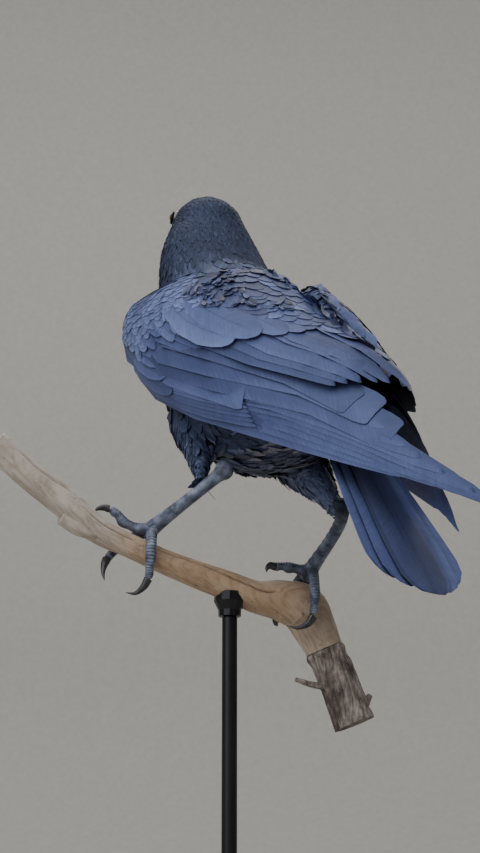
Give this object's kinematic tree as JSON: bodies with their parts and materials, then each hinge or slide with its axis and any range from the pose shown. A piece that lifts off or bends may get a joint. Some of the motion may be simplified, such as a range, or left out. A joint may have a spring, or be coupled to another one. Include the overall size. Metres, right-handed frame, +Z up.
{
  "type": "raven",
  "caption": "Still life-size raven gripping a cut length of bent branch, held up by a rod on a flat display base.",
  "frame": {"origin": "middle of the stand's flat underside", "axes": "+Z up, the bird faces -Y and its left side is at +X"},
  "size_m": [0.3178, 0.4583, 0.6384],
  "materials": {
    "plumage": "glossy blue-black feathers",
    "bill": "satin black horn",
    "eye": "wet dark brown",
    "skin": "scaled blue-grey black on legs and feet, bare under the feathers",
    "claw": "satin black horn",
    "bare_wood": "weathered, debarked",
    "bark": "rough bark",
    "stand_wood": "dark stained, satin",
    "stand_steel": "satin black"
  },
  "bodies": {
    "root": {"trunk": "plumage", "neck": "plumage", "head": "plumage", "bill_upper": "bill", "bill_lower": "bill", "eye_left": "eye", "eye_right": "eye", "wing_left": "plumage", "wing_right": "plumage", "tail": "plumage", "perch_branch": "bare_wood", "perch_stub": "bark", "thigh_left": "plumage", "tarsus_left": "skin", "toe_left_hallux": "skin", "claw_left_hallux": "claw", "toe_left_inner": "skin", "claw_left_inner": "claw", "toe_left_middle": "skin", "claw_left_middle": "claw", "toe_left_outer": "skin", "claw_left_outer": "claw", "thigh_right": "plumage", "tarsus_right": "skin", "toe_right_hallux": "skin", "claw_right_hallux": "claw", "toe_right_inner": "skin", "claw_right_inner": "claw", "toe_right_middle": "skin", "claw_right_middle": "claw", "toe_right_outer": "skin", "claw_right_outer": "claw", "stand_base": "stand_wood", "stand_rod": "stand_steel", "stand_collar": "stand_steel", "stand_cradle": "stand_steel"}
  },
  "joints": []
}
